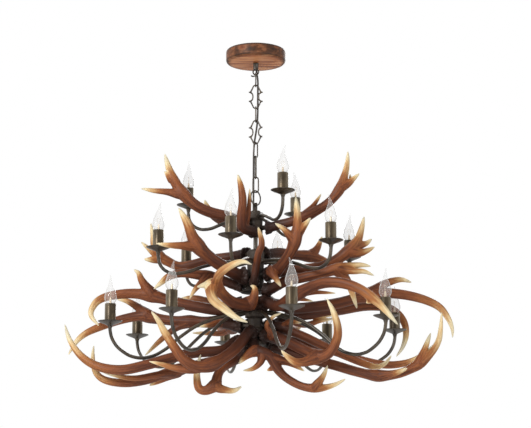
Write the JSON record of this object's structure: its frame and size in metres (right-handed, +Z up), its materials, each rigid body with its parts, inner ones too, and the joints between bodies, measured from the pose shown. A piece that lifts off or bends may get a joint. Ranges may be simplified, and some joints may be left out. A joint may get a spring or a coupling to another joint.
{
  "type": "antler chandelier",
  "caption": "Chain-hung chandelier of antler-shaped branches round an iron stem, with three tiers of curved candle arms, candle lights and a round wood canopy.",
  "frame": {"origin": "centre of the canopy's upper face, on the ceiling", "axes": "+Z up, -Y towards the viewer of the picture, +X to the viewer's right"},
  "size_m": [1.0978, 0.874, 1.0138],
  "materials": {
    "canopy_wood": "satin",
    "antler_resin": "satin",
    "bulb_glass": "polished",
    "bulb_cap": "satin",
    "lampholder": "matte",
    "cable": "matte",
    "zinc_steel": "satin",
    "cast_hub": "matte",
    "bronze_paint": "satin"
  },
  "bodies": {
    "canopy": {"ceiling_canopy": "canopy_wood", "ceiling_crossbar": "zinc_steel", "threaded_nipple": "zinc_steel", "nipple_nuts": "zinc_steel", "canopy_loop": "bronze_paint"},
    "hook": {"hook_link": "bronze_paint"},
    "ornamental_link_a": {"upper_ornamental_link": "bronze_paint"},
    "link_1": {"chain_link_1": "bronze_paint"},
    "ornamental_link_b": {"lower_ornamental_link": "bronze_paint"},
    "link_2": {"chain_link_2": "bronze_paint"},
    "link_3": {"chain_link_3": "bronze_paint"},
    "link_4": {"chain_link_4": "bronze_paint"},
    "ring": {"hanging_ring": "bronze_paint"},
    "fixture": {"fixture_neck": "bronze_paint", "center_pipe": "bronze_paint", "upper_hub": "cast_hub", "middle_hub": "cast_hub", "lower_hub": "cast_hub", "bottom_disc": "cast_hub", "bottom_nut": "bronze_paint", "upper_arms": "bronze_paint", "middle_arms": "bronze_paint", "lower_arms": "bronze_paint", "drip_pans": "bronze_paint", "candle_sleeves": "bronze_paint", "lampholders": "lampholder", "bulb_caps": "bulb_cap", "bulb_glass": "bulb_glass", "power_cable": "cable", "upper_left_antler": "antler_resin", "upper_back_left_antler": "antler_resin", "upper_right_antler": "antler_resin", "upper_front_antler": "antler_resin", "middle_front_left_antler": "antler_resin", "middle_front_right_antler": "antler_resin", "middle_front_spike_antler": "antler_resin", "middle_right_antler": "antler_resin", "middle_low_right_antler": "antler_resin", "middle_back_right_antler": "antler_resin", "middle_back_left_antler": "antler_resin", "middle_left_antler": "antler_resin", "lower_front_antler": "antler_resin", "lower_left_high_antler": "antler_resin", "lower_left_back_antler": "antler_resin", "lower_left_front_antler": "antler_resin", "lower_left_bottom_antler": "antler_resin", "lower_front_left_antler": "antler_resin", "lower_hook_antler": "antler_resin", "lower_arch_antler": "antler_resin", "lower_curl_antler": "antler_resin", "lower_right_middle_antler": "antler_resin", "lower_right_front_antler": "antler_resin", "lower_right_back_antler": "antler_resin", "lower_right_high_antler": "antler_resin", "lower_right_rear_antler": "antler_resin", "lower_front_right_antler": "antler_resin", "lower_back_left_antler": "antler_resin", "lower_rear_left_antler": "antler_resin", "lower_rear_right_antler": "antler_resin", "lower_rear_antler": "antler_resin"}
  },
  "joints": [
    {"name": "hook_swing", "type": "hinge", "parent": "canopy", "child": "hook", "pos_m": [0, 0, -0.0722], "axis": [1, 0, 0], "range_deg": [-15, 15], "deforming": ["power_cable"]},
    {"name": "upper_ornament_swing", "type": "hinge", "parent": "hook", "child": "ornamental_link_a", "pos_m": [0, 0, -0.1087], "axis": [0, 1, 0], "range_deg": [-15, 15], "deforming": ["power_cable"]},
    {"name": "link_1_swing", "type": "hinge", "parent": "ornamental_link_a", "child": "link_1", "pos_m": [0, 0, -0.1743], "axis": [1, 0, 0], "range_deg": [-15, 15], "deforming": ["power_cable"]},
    {"name": "lower_ornament_swing", "type": "hinge", "parent": "link_1", "child": "ornamental_link_b", "pos_m": [0, 0, -0.2152], "axis": [0, 1, 0], "range_deg": [-15, 15], "deforming": ["power_cable"]},
    {"name": "link_2_swing", "type": "hinge", "parent": "ornamental_link_b", "child": "link_2", "pos_m": [0, 0, -0.2808], "axis": [0.9848, -0.1736, 0], "range_deg": [-15, 15], "deforming": ["power_cable"]},
    {"name": "link_3_swing", "type": "hinge", "parent": "link_2", "child": "link_3", "pos_m": [0, 0, -0.3217], "axis": [0.6561, 0.7547, 0], "range_deg": [-15, 15], "deforming": ["power_cable"]},
    {"name": "link_4_swing", "type": "hinge", "parent": "link_3", "child": "link_4", "pos_m": [0, 0, -0.3839], "axis": [-0.1736, 0.9848, 0], "range_deg": [-15, 15], "deforming": ["power_cable"]},
    {"name": "ring_swing", "type": "hinge", "parent": "link_4", "child": "ring", "pos_m": [0, 0, -0.4249], "axis": [0.9962, 0.0872, 0], "range_deg": [-15, 15], "deforming": ["power_cable"]},
    {"name": "fixture_swing", "type": "hinge", "parent": "ring", "child": "fixture", "pos_m": [0, 0, -0.4623], "axis": [0.6428, 0.766, 0], "range_deg": [-12, 12], "deforming": ["power_cable"]}
  ]
}
